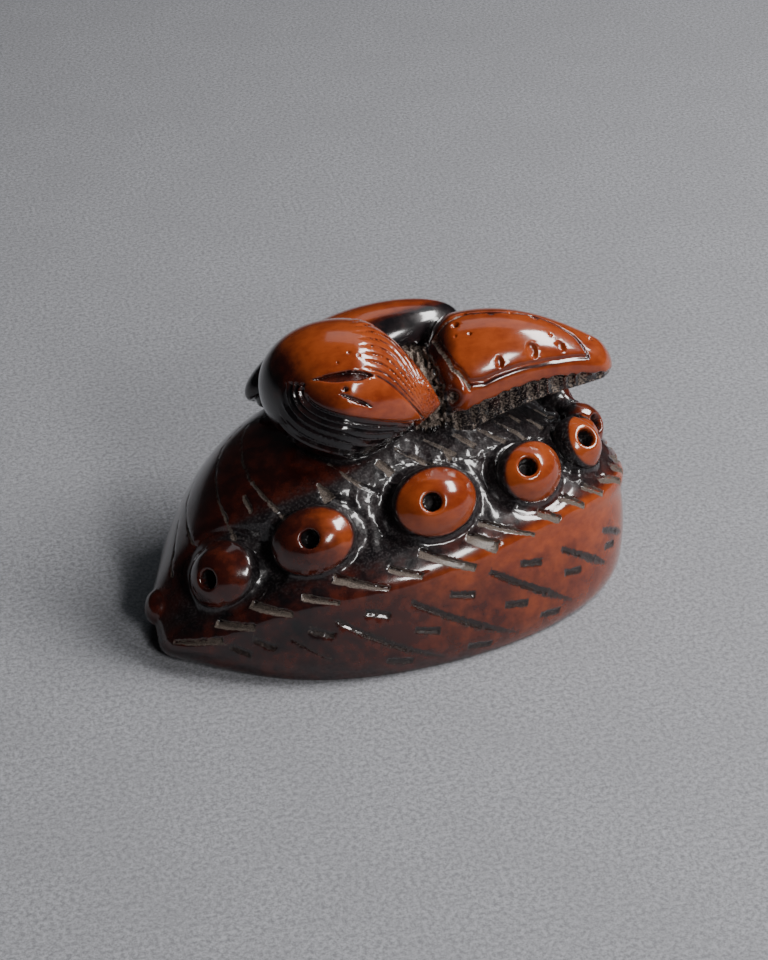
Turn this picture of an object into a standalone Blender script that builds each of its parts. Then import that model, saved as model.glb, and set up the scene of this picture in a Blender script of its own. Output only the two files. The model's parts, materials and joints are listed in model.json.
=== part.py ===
"""Netsuke carved from one block of boxwood: an abalone shell with three smaller shells on its back.

The forms are worked out in millimetres, and the finished mesh is scaled to metres. The object stands
on the floor at z = 0. Its long side lies along X, and its front, with the row of pores, faces -Y.
"""
import math

import bmesh
import bpy
import numpy as np
from mathutils import Matrix, Vector

MM = 0.001

# Abalone body. Its rim, the widest line, stands a little above the floor.
BODY_HALF_LENGTH = 21.4
BODY_HALF_FRONT = 13.0
BODY_HALF_BACK = 14.6
BODY_HEIGHT = 20.4
RIM_HEIGHT = 2.6
RIM_UNDERCUT = 0.8
CROWN_HEIGHT = 18.2
CROWN_EDGE_HEIGHT = 16.1
TOP_TO_RIGHT = 3.2
TOP_TO_BACK = 2.7

# Sunk track that holds the row of pores, and the ridge along its lower edge
TRACK_DEPTH = 1.15
RIDGE_RISE = 0.35
TRACK_FADES_OVER = 30

# Pores from the left end round the front to the back: angle on the outline, height as a share of the
# body's, drop from the pore to the ridge, length, width, and how far the hole lies left of the middle and
# above it.
PORES = (
    (-178, 0.115, 4.4, 4.6, 3.6, 0.0, 0.0),
    (-153, 0.413, 5.4, 6.5, 5.6, 0.3, -0.5),
    (-127, 0.605, 4.6, 7.1, 5.6, 0.0, 0.2),
    (-92, 0.712, 4.8, 7.2, 5.8, 0.8, 0.2),
    (-58, 0.722, 3.6, 5.9, 5.2, 1.1, 0.8),
    (-27, 0.712, 3.9, 4.4, 4.7, 0.8, 0.5),
    (-3, 0.700, 4.2, 4.4, 4.2, 1.2, 0.0),
    (21, 0.715, 3.9, 4.0, 3.8, 1.0, 0.0),
    (42, 0.735, 3.5, 3.6, 3.4, 0.9, 0.0),
    (62, 0.765, 3.1, 3.2, 3.0, 0.8, 0.0),
)
# Rise of a pore above the floor of the track, as a share of its width
PORE_RISE = 0.45
HOLE_DIAMETER = 1.6
HOLE_DEPTH = 1.8

# Small coil where the row of pores ends
COIL_ANGLE = 88
COIL_HEIGHT = 0.81
COIL_RADIUS = 3.2
COIL_RISE = 1.7

# Clam, front left
CLAM_HALF_LENGTH = 7.9
CLAM_HALF_HEIGHT = 6.1
CLAM_HALF_DEPTH = 6.3
CLAM_GROOVE_DEPTH = 0.6
CLAM_RIDGE_DEPTH = 0.24
CLAM_RIDGE_STEP = 14

# Wedge shell, front right, with a ribbed wall below its rim
WEDGE_LENGTH = 15.8
WEDGE_HALF_WIDTH = 5.5
# Rise of its dome as a share of its half width
WEDGE_RISE = 1.02
WEDGE_ARCH = 1.7
WEDGE_WALL = 3.2
WEDGE_RIM_STANDS_OUT = 0.5
WEDGE_RIB_STEP = 1.3
WEDGE_RIB_DEPTH = 0.35
WEDGE_GROOVE_DEPTH = 0.4
WEDGE_GROOVE_INSET = 1.3

# Shell behind the two others
REAR_HALF_LENGTH = 10.3
REAR_HALF_HEIGHT = 3.9
REAR_HALF_DEPTH = 4.8

# Bed of fibres that fills the gap between the shells
BED_HALF_LENGTH = 3.6
BED_HALF_DEPTH = 4.4
BED_HALF_HEIGHT = 3.0

# Cord tunnel in the underside
CORD_HOLE_DIAMETER = 3.2
CORD_HOLE_SPACING = 9.0

# Notches where growth lines cross the ridge, long and short by turns
NOTCH_STEP = 10.5
NOTCH_LONG = 5.0
NOTCH_SHORT = 3.4
NOTCH_WIDTH = 1.0
NOTCH_DEPTH = 0.3

# Mesh
SUBDIVISIONS = 6
VOXEL = 0.26
TRIANGLES = 8300
FOOT_CUT = 0.1

WOOD_COLOUR = (0.23, 0.062, 0.022, 1.0)
WOOD_ROUGHNESS = 0.28

BODY_CENTRE = np.array([1.48, -1.89, 0.0])
OUTLINE_POWER = 2.12
SIDE_POWER = 1.76
SHOULDER_POWER = 2.66
RIGHT_END_WIDER = 0.13
CROWN_EDGE = 0.6
LEFT_CORNER_ANGLE = -166
LEFT_CORNER_PUSH = 0.09


def smooth_curve(x, knots, values):
    """Value at x of a smooth curve through the knots."""
    knots = np.asarray(knots, float)
    values = np.asarray(values, float)
    slopes = np.gradient(values, knots)
    x = np.clip(x, knots[0], knots[-1])
    i = np.clip(np.searchsorted(knots, x) - 1, 0, len(knots) - 2)
    step = knots[i + 1] - knots[i]
    t = (x - knots[i]) / step
    return (
        values[i] * (1 + 2 * t) * (1 - t) ** 2
        + values[i + 1] * t * t * (3 - 2 * t)
        + slopes[i] * step * t * (1 - t) ** 2
        - slopes[i + 1] * step * t * t * (1 - t)
    )


def unit(vectors):
    return vectors / np.linalg.norm(vectors, axis=-1, keepdims=True)


def fade(x, start, end):
    """0 before start, 1 after end, smooth between."""
    t = np.clip((x - start) / (end - start), 0, 1)
    return t * t * (3 - 2 * t)


PORE_ANGLES = [row[0] for row in PORES]
TRACK_KNOTS = [PORE_ANGLES[0] - TRACK_FADES_OVER, *PORE_ANGLES, COIL_ANGLE, COIL_ANGLE + TRACK_FADES_OVER]
TRACK_SHARES = [0.0, *[row[1] for row in PORES], COIL_HEIGHT, COIL_HEIGHT]
RIDGE_DROPS = [PORES[0][2], *[row[2] for row in PORES], PORES[-1][2], PORES[-1][2]]


def track_height(angle):
    """Height of the pore row at an angle on the outline."""
    return BODY_HEIGHT * smooth_curve(angle, TRACK_KNOTS, TRACK_SHARES)


def ridge_height(angle):
    """Height of the ridge below the pore row."""
    return track_height(angle) - smooth_curve(angle, TRACK_KNOTS, RIDGE_DROPS)


def body_profile(height):
    """Width of the body at a height, as a share of its width at the rim."""
    t = np.clip((height - RIM_HEIGHT) / (BODY_HEIGHT - RIM_HEIGHT), 0, 1)
    above = np.clip(1 - t ** SIDE_POWER, 0, 1) ** (1 / SHOULDER_POWER)
    t = np.clip((RIM_HEIGHT - height) / RIM_HEIGHT, 0, 1)
    below = 1 - RIM_UNDERCUT / BODY_HALF_FRONT * (1 - np.sqrt(1 - t * t))
    return np.where(height > RIM_HEIGHT, above, below)


def top_shift(height):
    """How far the body's middle has moved to the right and back at a height."""
    t = np.clip((height - RIM_HEIGHT) / (BODY_HEIGHT - RIM_HEIGHT), 0, 1.2)
    return TOP_TO_RIGHT * t, TOP_TO_BACK * t


def corner_push(angle, height):
    """The low corner at the front of the left end stands out past the even outline."""
    return 1 + LEFT_CORNER_PUSH * np.exp(-(((angle - LEFT_CORNER_ANGLE) / 18) ** 2)) * fade(-height, -9, -2)


def body_coordinates(points):
    """Distance from the body's axis as a share of the rim, and angle on the outline in degrees."""
    x, y, z = (points - BODY_CENTRE).T
    right, back = top_shift(z)
    x = (x - right) / BODY_HALF_LENGTH
    half_width = np.where(y < back, BODY_HALF_FRONT, BODY_HALF_BACK)
    y = (y - back) / (half_width * (1 - RIGHT_END_WIDER * np.clip(x, -1, 1)))
    angle = np.degrees(np.arctan2(y, x))
    angle = np.where(angle > 130, angle - 360, angle)
    radius = (np.abs(x) ** OUTLINE_POWER + np.abs(y) ** OUTLINE_POWER) ** (1 / OUTLINE_POWER)
    return radius / corner_push(angle, z), angle


def body_point(angle, height):
    """Point of the plain body at an angle on the outline and a height."""
    angle = np.asarray(angle, float)
    height = np.asarray(height, float)
    across, along = np.sin(np.radians(angle)), np.cos(np.radians(angle))
    radius = (np.abs(along) ** OUTLINE_POWER + np.abs(across) ** OUTLINE_POWER) ** (-1 / OUTLINE_POWER)
    radius = radius * body_profile(height) * corner_push(angle, height)
    x, y = radius * along, radius * across
    right, back = top_shift(height)
    half_width = np.where(y < 0, BODY_HALF_FRONT, BODY_HALF_BACK)
    y = y * half_width * (1 - RIGHT_END_WIDER * np.clip(x, -1, 1))
    return np.stack([x * BODY_HALF_LENGTH + right, y + back, height], -1) + BODY_CENTRE


def body_normal(angle, height):
    along = body_point(angle + 0.5, height) - body_point(angle - 0.5, height)
    up = body_point(angle, height + 0.1) - body_point(angle, height - 0.1)
    return unit(np.cross(along, up))


def track_cut(angle, height):
    """Depth of the sunk track below the plain body. The ridge along its lower edge stands proud."""
    across = (height - track_height(angle)) / (track_height(angle) - ridge_height(angle))
    cut = TRACK_DEPTH * np.clip(1 - across * across, 0, 1) ** 2
    ridge = RIDGE_RISE * np.exp(-(((across + 1.12) / 0.28) ** 2))
    ends = fade(angle, PORE_ANGLES[0] - 5, PORE_ANGLES[1]) * fade(-angle, -COIL_ANGLE, -PORE_ANGLES[-1])
    return (cut - ridge) * ends


def body_field(points):
    """Below 0 inside the body, about the distance in millimetres outside it."""
    radius, angle = body_coordinates(points)
    height = points[:, 2]
    field = (radius - body_profile(height)) * BODY_HALF_FRONT
    field = np.where(height > BODY_HEIGHT, np.maximum(field, height - BODY_HEIGHT), field)
    crown = CROWN_HEIGHT - (CROWN_HEIGHT - CROWN_EDGE_HEIGHT) * radius / CROWN_EDGE
    field = np.logaddexp(field, height - crown)
    field = field + track_cut(angle, height) * fade(-height, -BODY_HEIGHT, 2 - BODY_HEIGHT)
    return np.maximum(field, -height)


class Place:
    """Own frame of a shell: x along it, z out of its face."""

    def __init__(self, centre, heading, pitch, roll):
        self.centre = np.array(centre)
        turn = (
            Matrix.Rotation(math.radians(heading), 3, "Z")
            @ Matrix.Rotation(math.radians(-pitch), 3, "Y")
            @ Matrix.Rotation(math.radians(roll), 3, "X")
        )
        self.turn = np.array(turn)

    def local(self, points):
        return ((points - self.centre) @ self.turn).T


CLAM = Place(
    (-0.115 * BODY_HALF_LENGTH, -0.141 * BODY_HALF_FRONT, BODY_HEIGHT + 0.2 * CLAM_HALF_HEIGHT),
    heading=-20,
    pitch=-7.5,
    roll=53,
)
WEDGE = Place(
    (0.292 * BODY_HALF_LENGTH, 0.126 * BODY_HALF_FRONT, BODY_HEIGHT - 0.56 * WEDGE_WALL),
    heading=-8.8,
    pitch=5,
    roll=0,
)
REAR = Place(
    (0.006 * BODY_HALF_LENGTH, 0.53 * BODY_HALF_BACK, BODY_HEIGHT - 0.3 * REAR_HALF_HEIGHT),
    heading=-1.7,
    pitch=17,
    roll=45,
)
BED = Place(
    (0.23 * BODY_HALF_LENGTH, 0.1 * BODY_HALF_FRONT, BODY_HEIGHT - 0.5 * BED_HALF_HEIGHT),
    heading=-15,
    pitch=0,
    roll=0,
)


def clam_field(points):
    """An egg shape, blunt at the left and pointed at the right."""
    x, y, z = CLAM.local(points)
    share = np.clip(x / CLAM_HALF_LENGTH, -1, 1)
    blunt = np.sqrt(1 - share ** 2)
    pointed = (1 - np.abs(share) ** 1.5) ** 0.88
    outline = np.where(share < 0, blunt, pointed)
    radius = np.sqrt((y / CLAM_HALF_HEIGHT) ** 2 + (z / CLAM_HALF_DEPTH) ** 2)
    field = (radius - outline) * CLAM_HALF_HEIGHT
    return np.maximum(field, np.abs(x) - CLAM_HALF_LENGTH)


def wedge_sizes(share):
    """Half width and height of the wedge shell at a share of its length."""
    taper = 1 - 0.72 * np.clip((share - 0.12) / 0.88, 0, 1) ** 1.25
    left_end = np.sqrt(1 - np.clip((0.12 - share) / 0.2, 0, 1) ** 2)
    tip = np.sqrt(1 - np.clip((share - 0.92) / 0.08, 0, 1) ** 2)
    half_width = WEDGE_HALF_WIDTH * taper * left_end * tip
    return half_width, half_width * WEDGE_RISE


def wedge_field(points):
    """A domed shell over a wedge outline, with a set-back wall below its rim."""
    x, y, z = WEDGE.local(points)
    share = np.clip(x / WEDGE_LENGTH, -0.08, 1)
    z = z - WEDGE_ARCH * np.sin(math.pi * np.clip(share, 0, 1))
    half_width, rise = wedge_sizes(share)
    half_width = half_width + 0.05
    dome = (np.sqrt((y / half_width) ** 2 + (z / (rise + 0.05)) ** 2) - 1) * half_width
    wall_height = WEDGE_WALL * (1 - 0.75 * np.clip(share, 0, 1) ** 3)
    set_back = np.clip(WEDGE_RIM_STANDS_OUT * fade(-z, 0.1, 0.7) - 0.25 * z, 0, 2)
    wall = np.maximum(np.abs(y) - np.maximum(half_width - set_back, 0.05), -z - wall_height)
    field = np.where(z > 0, dome, wall)
    return np.maximum(field, np.maximum(x - WEDGE_LENGTH, -0.08 * WEDGE_LENGTH - x))


def rear_field(points):
    """A long pointed oval."""
    x, y, z = REAR.local(points)
    radius = (np.abs(x / REAR_HALF_LENGTH) ** 1.8 + np.hypot(y / REAR_HALF_HEIGHT, z / REAR_HALF_DEPTH) ** 1.8)
    return (radius ** (1 / 1.8) - 1) * REAR_HALF_HEIGHT


def bed_field(points):
    x, y, z = BED.local(points)
    radius = np.sqrt((x / BED_HALF_LENGTH) ** 2 + (y / BED_HALF_DEPTH) ** 2 + (z / BED_HALF_HEIGHT) ** 2)
    return (radius - 1) * BED_HALF_HEIGHT


def cast_to_surface(field, centre, directions, reach):
    """Points where rays from the centre leave a form."""
    near = np.zeros(len(directions))
    far = np.full(len(directions), reach)
    for _ in range(22):
        middle = (near + far) / 2
        outside = field(centre + directions * middle[:, None]) > 0
        far = np.where(outside, middle, far)
        near = np.where(outside, near, middle)
    return centre + directions * near[:, None]


def add_form(bm, field, centre, reach, subdivisions):
    """Add a ball whose points are drawn out to the form's surface."""
    ball = bmesh.ops.create_icosphere(bm, subdivisions=subdivisions, radius=1)["verts"]
    directions = unit(np.array([vertex.co[:] for vertex in ball]))
    surface = cast_to_surface(field, np.asarray(centre), directions, reach)
    for vertex, point in zip(ball, surface):
        vertex.co = point


def mound_matrix(angle, height, sink):
    """Frame on the body, sunk below its surface: x along the track, z outward."""
    normal = body_normal(angle, height)
    along = body_point(angle + 2, track_height(angle + 2)) - body_point(angle - 2, track_height(angle - 2))
    along = unit(along - normal * (along @ normal))
    across = np.cross(normal, along)
    centre = body_point(angle, height) - normal * sink
    matrix = Matrix.Identity(4)
    for column, axis in enumerate((along, across, normal, centre)):
        matrix.col[column][:3] = axis
    return matrix


def add_pores(bm):
    for angle, _, _, length, width, _, _ in PORES:
        size = Matrix.Diagonal((length / 2, width / 2, PORE_RISE * width, 1))
        matrix = mound_matrix(angle, track_height(angle), TRACK_DEPTH) @ size
        bmesh.ops.create_icosphere(bm, subdivisions=5, radius=1, matrix=matrix)


def add_coil(bm):
    height = COIL_HEIGHT * BODY_HEIGHT
    for radius, rise in ((COIL_RADIUS, COIL_RISE), (COIL_RADIUS * 0.55, COIL_RISE * 1.5)):
        matrix = mound_matrix(COIL_ANGLE, height, COIL_RISE * 0.4) @ Matrix.Diagonal((radius, radius, rise, 1))
        bmesh.ops.create_icosphere(bm, subdivisions=4, radius=1, matrix=matrix)


def ridges(x, step):
    """Even waves with a period of one step: 0 on the crest, 1 in the cut."""
    return 0.5 - 0.5 * np.cos(math.tau * x / step)


def clear_of(points, *fields):
    """1 where a point is well outside the other forms, 0 where it meets one."""
    nearest = np.minimum.reduce([field(points) for field in fields])
    return fade(nearest, 0.2, 0.9)


def clam_relief(points):
    """Depth of cut on the clam: the groove beside its hinge and the growth ridges of both valves."""
    x, y, z = CLAM.local(points)
    share = x / CLAM_HALF_LENGTH
    along = np.clip((share + 0.47) / 1.43, 0, 1)
    bow = np.sin(math.pi * along)
    tips = (-0.07 - 0.12 * along) * CLAM_HALF_HEIGHT
    upper = tips + 0.32 * CLAM_HALF_HEIGHT * bow ** 0.75
    lower = tips - 0.31 * CLAM_HALF_HEIGHT * np.sin(math.pi * along ** 0.75) ** 0.6
    on_clam = (np.abs(clam_field(points)) < 3 * VOXEL) * clear_of(points, body_field, bed_field) * (z > 0)
    groove = np.exp(-(((y - upper) / 0.55) ** 2)) * fade(-share, -0.25, -0.1)
    crease = 0.6 * np.exp(-(((y - lower) / 0.3) ** 2))
    depth = CLAM_GROOVE_DEPTH * np.maximum(groove, crease) * fade(bow, 0.02, 0.25)
    turn = np.degrees(np.arctan2(y, z))
    below = fade(-turn, 28, 36) * fade(share, -0.6, -0.15)
    above = fade(turn, 26, 36) * fade(share, -0.2, 0.25)
    ends = np.maximum(below, above) * fade(-share, -0.97, -0.85)
    depth = depth + CLAM_RIDGE_DEPTH * ends * ridges(turn / np.maximum(bow, 0.3) ** 0.5, CLAM_RIDGE_STEP)
    return depth * on_clam


def wedge_relief(points):
    """Depth of cut on the wedge shell: the groove round its top and the ribs of its wall."""
    x, y, z = WEDGE.local(points)
    share = x / WEDGE_LENGTH
    half_width, _ = wedge_sizes(np.clip(share, 0, 1))
    z = z - WEDGE_ARCH * np.sin(math.pi * np.clip(share, 0, 1))
    on_shell = (np.abs(wedge_field(points)) < 3 * VOXEL) * clear_of(points, body_field, bed_field)
    wall = WEDGE_WALL * (1 - 0.75 * np.clip(share, 0, 1) ** 3)
    ribs = ridges(x, WEDGE_RIB_STEP) * fade(-z, 0.0, 0.5) * fade(wall + z, 0.3, 0.9) * fade(-share, -1, -0.95)
    edge = np.minimum(half_width - np.abs(y), np.minimum((share + 0.04), 0.9 - share) * WEDGE_LENGTH)
    groove = np.exp(-(((edge - WEDGE_GROOVE_INSET) / 0.35) ** 2)) * (z > 0.2)
    return (WEDGE_RIB_DEPTH * ribs + WEDGE_GROOVE_DEPTH * groove) * on_shell


def notch_cut(points):
    """Depth of cut of the notches along the ridge."""
    depth = np.zeros(len(points))
    first, last = PORE_ANGLES[1] + 1, PORE_ANGLES[-1]
    for number, angle in enumerate(np.arange(first, last, NOTCH_STEP)):
        matrix = mound_matrix(angle, ridge_height(angle), 0)
        frame = np.array(matrix)
        x, y, z = ((points - frame[:3, 3]) @ frame[:3, :3]).T
        length = NOTCH_LONG if number % 2 == 0 else NOTCH_SHORT
        y = y + 0.3 * x
        inside = np.minimum(length / 2 - np.abs(x), NOTCH_WIDTH / 2 - np.abs(y))
        depth = np.maximum(depth, NOTCH_DEPTH * fade(inside, -0.1, 0.25) * (np.abs(z) < 2))
    return depth


def relief(points):
    return clam_relief(points) + wedge_relief(points) + notch_cut(points)


def mesh_object(name, bm):
    mesh = bpy.data.meshes.new(name)
    bm.to_mesh(mesh)
    bm.free()
    thing = bpy.data.objects.new(name, mesh)
    bpy.context.collection.objects.link(thing)
    return thing


def bake_modifiers(thing):
    """Replace the object's mesh with what its modifiers make of it."""
    depsgraph = bpy.context.evaluated_depsgraph_get()
    baked = bpy.data.meshes.new_from_object(thing.evaluated_get(depsgraph))
    thing.modifiers.clear()
    thing.data = baked


def blocked_out_shape():
    """All forms in one skin."""
    bm = bmesh.new()
    add_form(bm, body_field, BODY_CENTRE + (TOP_TO_RIGHT, TOP_TO_BACK, BODY_HEIGHT / 3), 40, SUBDIVISIONS)
    add_pores(bm)
    add_coil(bm)
    add_form(bm, clam_field, CLAM.centre, 20, SUBDIVISIONS - 1)
    add_form(bm, rear_field, REAR.centre, 20, SUBDIVISIONS - 1)
    add_form(bm, bed_field, BED.centre, 10, SUBDIVISIONS - 2)
    middle = WEDGE.centre + WEDGE.turn @ np.array([WEDGE_LENGTH / 3, 0, WEDGE_ARCH])
    add_form(bm, wedge_field, middle, 30, SUBDIVISIONS - 1)
    thing = mesh_object("netsuke", bm)
    remesh = thing.modifiers.new("One skin", "REMESH")
    remesh.mode = "VOXEL"
    remesh.voxel_size = VOXEL
    bake_modifiers(thing)
    return thing


def carve(thing):
    """Move the skin inward by the depth of the relief."""
    bm = bmesh.new()
    bm.from_mesh(thing.data)
    bmesh.ops.smooth_vert(bm, verts=bm.verts, factor=0.4, use_axis_x=True, use_axis_y=True, use_axis_z=True)
    bm.normal_update()
    points = np.array([vertex.co[:] for vertex in bm.verts])
    for vertex, depth in zip(bm.verts, relief(points)):
        if depth > 0:
            vertex.co -= vertex.normal * depth
    bm.to_mesh(thing.data)
    bm.free()


def thin_out(thing):
    thing.data.calc_loop_triangles()
    decimate = thing.modifiers.new("Fewer faces", "DECIMATE")
    decimate.ratio = TRIANGLES / len(thing.data.loop_triangles)
    decimate.use_collapse_triangulate = True
    bake_modifiers(thing)


def flatten_foot(thing):
    """Cut the underside flat and set it on z = 0, with the origin below the middle of the whole."""
    bm = bmesh.new()
    bm.from_mesh(thing.data)
    everything = bm.verts[:] + bm.edges[:] + bm.faces[:]
    bmesh.ops.bisect_plane(
        bm, geom=everything, dist=1e-4, plane_co=(0, 0, FOOT_CUT), plane_no=(0, 0, 1), clear_inner=True
    )
    bmesh.ops.holes_fill(bm, edges=[edge for edge in bm.edges if edge.is_boundary])
    points = np.array([vertex.co[:] for vertex in bm.verts])
    middle = (points.min(0) + points.max(0)) / 2
    bmesh.ops.translate(bm, verts=bm.verts, vec=(-middle[0], -middle[1], -FOOT_CUT))
    bmesh.ops.triangulate(bm, faces=[face for face in bm.faces if len(face.verts) > 3])
    bm.to_mesh(thing.data)
    bm.free()
    return Vector((-middle[0], -middle[1], -FOOT_CUT))


def cutter(name, bm):
    thing = mesh_object(name, bm)
    thing.hide_render = True
    thing.display_type = "WIRE"
    return thing


def hole_matrix(angle, length, width, left, up):
    """Frame of a pore's hole: on the skin of its mound and square to it, a little off the middle."""
    rise = PORE_RISE * width
    reach = Vector((-left / (length / 2), up / (width / 2), 0))
    reach.z = math.sqrt(1 - reach.length_squared)
    place = Matrix.Translation((-left, up, rise * (reach.z - 1)))
    outward = Vector((reach.x / (length / 2), reach.y / (width / 2), reach.z / rise))
    turn = outward.to_track_quat("Z", "Y").to_matrix().to_4x4()
    return mound_matrix(angle, track_height(angle), TRACK_DEPTH - rise) @ place @ turn


def pore_drills(shift):
    """One short rod for each pore, from outside down into it."""
    bm = bmesh.new()
    for angle, _, _, length, width, left, up in PORES:
        bmesh.ops.create_cone(
            bm,
            cap_ends=True,
            segments=14,
            radius1=HOLE_DIAMETER / 2,
            radius2=HOLE_DIAMETER / 2,
            depth=HOLE_DEPTH * 2,
            matrix=Matrix.Translation(shift) @ hole_matrix(angle, length, width, left, up),
        )
    return cutter("Pore drills", bm)


def cord_tunnel():
    """A half ring: both its ends come out of the underside."""
    bm = bmesh.new()
    circle = bmesh.ops.create_circle(
        bm,
        cap_ends=False,
        segments=16,
        radius=CORD_HOLE_DIAMETER / 2,
        matrix=Matrix.Translation((CORD_HOLE_SPACING / 2, 0, 0)),
    )
    bmesh.ops.spin(
        bm,
        geom=circle["verts"] + list({edge for vertex in circle["verts"] for edge in vertex.link_edges}),
        cent=(0, 0, 0),
        axis=(0, -1, 0),
        angle=math.tau,
        steps=24,
        use_merge=True,
    )
    bmesh.ops.remove_doubles(bm, verts=bm.verts, dist=1e-4)
    bmesh.ops.recalc_face_normals(bm, faces=bm.faces)
    return cutter("Cord tunnel", bm)


def subtract(thing, tool):
    boolean = thing.modifiers.new(tool.name, "BOOLEAN")
    boolean.operation = "DIFFERENCE"
    boolean.solver = "EXACT"
    boolean.object = tool


def wood():
    material = bpy.data.materials.new("boxwood")
    material.use_nodes = True
    shader = material.node_tree.nodes["Principled BSDF"]
    shader.inputs["Base Color"].default_value = WOOD_COLOUR
    shader.inputs["Roughness"].default_value = WOOD_ROUGHNESS
    shader.inputs["Metallic"].default_value = 0.0
    return material


def main():
    for thing in list(bpy.data.objects):
        bpy.data.objects.remove(thing, do_unlink=True)
    netsuke = blocked_out_shape()
    carve(netsuke)
    thin_out(netsuke)
    shift = flatten_foot(netsuke)
    tools = [pore_drills(shift), cord_tunnel()]
    for tool in tools:
        subtract(netsuke, tool)
    for thing in [netsuke, *tools]:
        thing.data.transform(Matrix.Scale(MM, 4))
        thing.data.update()
    netsuke.data.shade_smooth()
    netsuke.data.set_sharp_from_angle(angle=math.radians(40))
    netsuke.data.materials.clear()
    netsuke.data.materials.append(wood())


main()
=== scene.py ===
import json
import math
from collections import namedtuple

import bmesh
import bpy
import numpy as np
from mathutils import Matrix, Vector, noise

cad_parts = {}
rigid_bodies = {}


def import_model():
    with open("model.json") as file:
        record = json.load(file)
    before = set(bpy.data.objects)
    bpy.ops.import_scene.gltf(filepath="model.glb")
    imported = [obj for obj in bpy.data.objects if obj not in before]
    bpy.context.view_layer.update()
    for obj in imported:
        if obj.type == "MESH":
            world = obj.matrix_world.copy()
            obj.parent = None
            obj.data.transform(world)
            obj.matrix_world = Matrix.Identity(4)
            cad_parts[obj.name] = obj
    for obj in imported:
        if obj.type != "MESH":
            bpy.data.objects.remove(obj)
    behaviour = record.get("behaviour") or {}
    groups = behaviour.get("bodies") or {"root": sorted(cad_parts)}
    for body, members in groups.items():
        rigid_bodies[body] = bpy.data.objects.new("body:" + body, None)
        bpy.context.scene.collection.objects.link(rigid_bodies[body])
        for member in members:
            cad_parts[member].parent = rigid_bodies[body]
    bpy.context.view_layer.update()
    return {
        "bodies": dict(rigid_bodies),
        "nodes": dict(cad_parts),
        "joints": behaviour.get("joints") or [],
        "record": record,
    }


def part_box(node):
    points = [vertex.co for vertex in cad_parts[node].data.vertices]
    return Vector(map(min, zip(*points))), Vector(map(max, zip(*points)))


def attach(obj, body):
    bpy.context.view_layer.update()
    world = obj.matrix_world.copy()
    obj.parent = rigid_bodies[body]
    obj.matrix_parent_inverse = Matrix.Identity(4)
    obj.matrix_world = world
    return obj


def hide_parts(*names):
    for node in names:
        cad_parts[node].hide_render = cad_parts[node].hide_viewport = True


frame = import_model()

MM = 0.001

# Forms, in millimetres, as in the CAD

BODY_HALF_LENGTH = 21.4
BODY_HALF_FRONT = 13.0
BODY_HALF_BACK = 14.6
BODY_HEIGHT = 20.4
RIM_HEIGHT = 2.6
RIM_UNDERCUT = 0.8
CROWN_HEIGHT = 18.2
CROWN_EDGE_HEIGHT = 16.1
TOP_TO_RIGHT = 3.2
TOP_TO_BACK = 2.7
BODY_CENTRE = np.array([1.48, -1.89, 0.0])
OUTLINE_POWER = 2.12
SIDE_POWER = 1.76
SHOULDER_POWER = 2.66
RIGHT_END_WIDER = 0.13
CROWN_EDGE = 0.6
LEFT_CORNER_ANGLE = -166
LEFT_CORNER_PUSH = 0.09

TRACK_DEPTH = 1.15
RIDGE_RISE = 0.35
TRACK_FADES_OVER = 30

# Pores: angle on the outline, height as a share of the body's, drop to the ridge, length, width, and how
# far the hole lies left of the middle and above it
Pore = namedtuple("Pore", "angle height_share ridge_drop length width left up")
PORES = (
    Pore(-178, 0.115, 4.4, 4.6, 3.6, 0.0, 0.0),
    Pore(-153, 0.413, 5.4, 6.5, 5.6, 0.3, -0.5),
    Pore(-127, 0.605, 4.6, 7.1, 5.6, 0.0, 0.2),
    Pore(-92, 0.712, 4.8, 7.2, 5.8, 0.8, 0.2),
    Pore(-58, 0.722, 3.6, 5.9, 5.2, 1.1, 0.8),
    Pore(-27, 0.712, 3.9, 4.4, 4.7, 0.8, 0.5),
    Pore(-3, 0.700, 4.2, 4.4, 4.2, 1.2, 0.0),
    Pore(21, 0.715, 3.9, 4.0, 3.8, 1.0, 0.0),
    Pore(42, 0.735, 3.5, 3.6, 3.4, 0.9, 0.0),
    Pore(62, 0.765, 3.1, 3.2, 3.0, 0.8, 0.0),
)
PORE_RISE = 0.45
HOLE_RADIUS = 0.8
HOLE_DEPTH = 1.9

COIL_ANGLE = 88
COIL_HEIGHT = 0.81
COIL_RADIUS = 3.2
COIL_RISE = 1.7

CLAM_HALF_LENGTH = 7.9
CLAM_HALF_HEIGHT = 6.1
CLAM_HALF_DEPTH = 6.3

WEDGE_LENGTH = 15.8
WEDGE_HALF_WIDTH = 5.5
WEDGE_RISE = 1.02
WEDGE_ARCH = 1.7
WEDGE_WALL = 3.2
WEDGE_RIM_STANDS_OUT = 0.5
WEDGE_RIB_STEP = 1.3
WEDGE_RIB_DEPTH = 0.4
# The shell's left end, as a share of its length left of its zero
WEDGE_LEFT_OF_ZERO = 0.08
# Light knob at the shell's front left corner
WEDGE_KNOB = (1.1, -4.9, 1.4)

REAR_HALF_LENGTH = 10.3
REAR_HALF_HEIGHT = 3.9
REAR_HALF_DEPTH = 4.8
REAR_POWER = 1.8

BED_HALF_LENGTH = 3.6
BED_HALF_DEPTH = 4.4
BED_HALF_HEIGHT = 3.0

CORD_HOLE_DIAMETER = 3.2
CORD_HOLE_SPACING = 9.0

VOXEL = 0.12
TRIANGLES = 190000
FOOT_CUT = 0.1


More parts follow.
